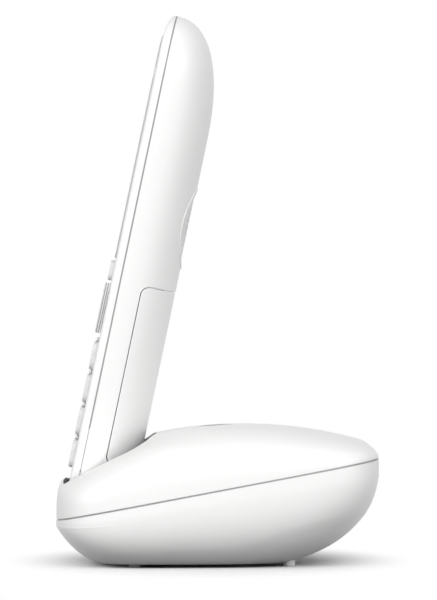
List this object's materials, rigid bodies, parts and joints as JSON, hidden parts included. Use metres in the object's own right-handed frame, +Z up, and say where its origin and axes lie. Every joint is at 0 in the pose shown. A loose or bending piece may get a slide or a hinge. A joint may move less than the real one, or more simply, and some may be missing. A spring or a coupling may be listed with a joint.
{
  "type": "cordless phone with charging base",
  "caption": "Slim white cordless phone handset with keypad and display, leaning back in a rounded charging base with a paging key on its crown.",
  "frame": {"origin": "middle of the base's footprint, on the table under its feet", "axes": "+X across the width, towards the keypad's left seen from the front is -X; the keypad faces -Y; +Z up"},
  "size_m": [0.088, 0.106, 0.1821],
  "materials": {
    "white_shell": "satin white",
    "grille": "satin light grey",
    "silver_panel": "silver grey lacquer",
    "window": "clear, polished",
    "display": "dark grey",
    "key_plastic": "satin",
    "bright_metal": "bright plated plastic",
    "soft_foot": "matte, translucent",
    "board": "lacquered",
    "steel": "plain",
    "contact_metal": "nickel plated",
    "dark_plastic": "matte",
    "inner_plastic": "plain",
    "mat": "matte",
    "cell": "printed sleeve"
  },
  "bodies": {
    "base": {"base_upper_shell": "white_shell", "base_lower_shell": "white_shell", "base_feet": "soft_foot", "base_case_screws": "steel", "base_circuit_board": "board", "base_board_screws": "steel", "line_socket": "dark_plastic", "power_socket": "dark_plastic", "page_switch": "dark_plastic", "contact_springs": "steel", "contact_bracket": "inner_plastic"},
    "handset": {"handset_front_cover": "white_shell", "handset_rear_shell": "white_shell", "face_panel": "silver_panel", "display_window": "window", "display_module": "display", "earpiece_receiver": "dark_plastic", "loudspeaker": "dark_plastic", "speaker_grille": "grille", "microphone": "dark_plastic", "handset_circuit_board": "board", "handset_board_screws": "steel", "keypad_mat": "mat", "battery_cell_left": "cell", "battery_cell_right": "cell", "battery_springs": "steel", "battery_plates": "steel", "charge_pads": "contact_metal"},
    "page_key": {"page_key": "white_shell"},
    "charge_contact_left": {"charge_contact_left": "contact_metal"},
    "charge_contact_right": {"charge_contact_right": "contact_metal"},
    "battery_cover": {"battery_cover": "white_shell"},
    "nav_rocker": {"nav_rocker_plate": "inner_plastic"},
    "nav_ring": {"nav_ring": "bright_metal"},
    "key_1": {"key_1": "key_plastic"},
    "key_2": {"key_2": "key_plastic"},
    "key_3": {"key_3": "key_plastic"},
    "key_4": {"key_4": "key_plastic"},
    "key_5": {"key_5": "key_plastic"},
    "key_6": {"key_6": "key_plastic"},
    "key_7": {"key_7": "key_plastic"},
    "key_8": {"key_8": "key_plastic"},
    "key_9": {"key_9": "key_plastic"},
    "key_star": {"key_star": "key_plastic"},
    "key_0": {"key_0": "key_plastic"},
    "key_hash": {"key_hash": "key_plastic"},
    "soft_key_left": {"soft_key_left": "key_plastic"},
    "soft_key_right": {"soft_key_right": "key_plastic"},
    "talk_key": {"talk_key": "key_plastic"},
    "end_key": {"end_key": "key_plastic"},
    "nav_center_key": {"nav_center_key": "bright_metal"}
  },
  "joints": [
    {"name": "handset_lift", "type": "slide", "parent": "base", "child": "handset", "axis": [0, 0.2055, 0.9787], "range_m": [0, 0.08]},
    {"name": "page_press", "type": "slide", "parent": "base", "child": "page_key", "axis": [0, 0, -1], "range_m": [0, 0.0006], "stiffness_N_per_m": 2500},
    {"name": "battery_cover_swing", "type": "hinge", "parent": "handset", "child": "battery_cover", "pos_m": [0, -0.02672, 0.0321], "axis": [-1, 0, 0], "range_deg": [0, 12]},
    {"name": "nav_rock", "type": "hinge", "parent": "handset", "child": "nav_rocker", "pos_m": [0, -0.03433, 0.08443], "axis": [1, 0, 0], "range_deg": [-3, 3], "stiffness_Nm_per_rad": 0.3},
    {"name": "nav_tilt", "type": "hinge", "parent": "nav_rocker", "child": "nav_ring", "pos_m": [0, -0.03452, 0.08447], "axis": [0, 0.2055, 0.9787], "range_deg": [-3, 3], "stiffness_Nm_per_rad": 0.3},
    {"name": "charge_contact_left_press", "type": "slide", "parent": "base", "child": "charge_contact_left", "axis": [0, 0.2055, 0.9787], "range_m": [-0.0008, 0], "stiffness_N_per_m": 800},
    {"name": "charge_contact_right_press", "type": "slide", "parent": "base", "child": "charge_contact_right", "axis": [0, 0.2055, 0.9787], "range_m": [-0.0008, 0], "stiffness_N_per_m": 800},
    {"name": "key_1_press", "type": "slide", "parent": "handset", "child": "key_1", "axis": [0, 0.9787, -0.2055], "range_m": [0, 0.0005], "stiffness_N_per_m": 3000},
    {"name": "key_2_press", "type": "slide", "parent": "handset", "child": "key_2", "axis": [0, 0.9787, -0.2055], "range_m": [0, 0.0005], "stiffness_N_per_m": 3000},
    {"name": "key_3_press", "type": "slide", "parent": "handset", "child": "key_3", "axis": [0, 0.9787, -0.2055], "range_m": [0, 0.0005], "stiffness_N_per_m": 3000},
    {"name": "key_4_press", "type": "slide", "parent": "handset", "child": "key_4", "axis": [0, 0.9787, -0.2055], "range_m": [0, 0.0005], "stiffness_N_per_m": 3000},
    {"name": "key_5_press", "type": "slide", "parent": "handset", "child": "key_5", "axis": [0, 0.9787, -0.2055], "range_m": [0, 0.0005], "stiffness_N_per_m": 3000},
    {"name": "key_6_press", "type": "slide", "parent": "handset", "child": "key_6", "axis": [0, 0.9787, -0.2055], "range_m": [0, 0.0005], "stiffness_N_per_m": 3000},
    {"name": "key_7_press", "type": "slide", "parent": "handset", "child": "key_7", "axis": [0, 0.9787, -0.2055], "range_m": [0, 0.0005], "stiffness_N_per_m": 3000},
    {"name": "key_8_press", "type": "slide", "parent": "handset", "child": "key_8", "axis": [0, 0.9787, -0.2055], "range_m": [0, 0.0005], "stiffness_N_per_m": 3000},
    {"name": "key_9_press", "type": "slide", "parent": "handset", "child": "key_9", "axis": [0, 0.9787, -0.2055], "range_m": [0, 0.0005], "stiffness_N_per_m": 3000},
    {"name": "key_star_press", "type": "slide", "parent": "handset", "child": "key_star", "axis": [0, 0.9787, -0.2055], "range_m": [0, 0.0005], "stiffness_N_per_m": 3000},
    {"name": "key_0_press", "type": "slide", "parent": "handset", "child": "key_0", "axis": [0, 0.9787, -0.2055], "range_m": [0, 0.0005], "stiffness_N_per_m": 3000},
    {"name": "key_hash_press", "type": "slide", "parent": "handset", "child": "key_hash", "axis": [0, 0.9787, -0.2055], "range_m": [0, 0.0005], "stiffness_N_per_m": 3000},
    {"name": "soft_key_left_press", "type": "slide", "parent": "handset", "child": "soft_key_left", "axis": [0, 0.9787, -0.2055], "range_m": [0, 0.0005], "stiffness_N_per_m": 3000},
    {"name": "soft_key_right_press", "type": "slide", "parent": "handset", "child": "soft_key_right", "axis": [0, 0.9787, -0.2055], "range_m": [0, 0.0005], "stiffness_N_per_m": 3000},
    {"name": "talk_key_press", "type": "slide", "parent": "handset", "child": "talk_key", "axis": [0, 0.9787, -0.2055], "range_m": [0, 0.0005], "stiffness_N_per_m": 3000},
    {"name": "end_key_press", "type": "slide", "parent": "handset", "child": "end_key", "axis": [0, 0.9787, -0.2055], "range_m": [0, 0.0005], "stiffness_N_per_m": 3000},
    {"name": "nav_center_key_press", "type": "slide", "parent": "handset", "child": "nav_center_key", "axis": [0, 0.9787, -0.2055], "range_m": [0, 0.0005], "stiffness_N_per_m": 3000}
  ]
}
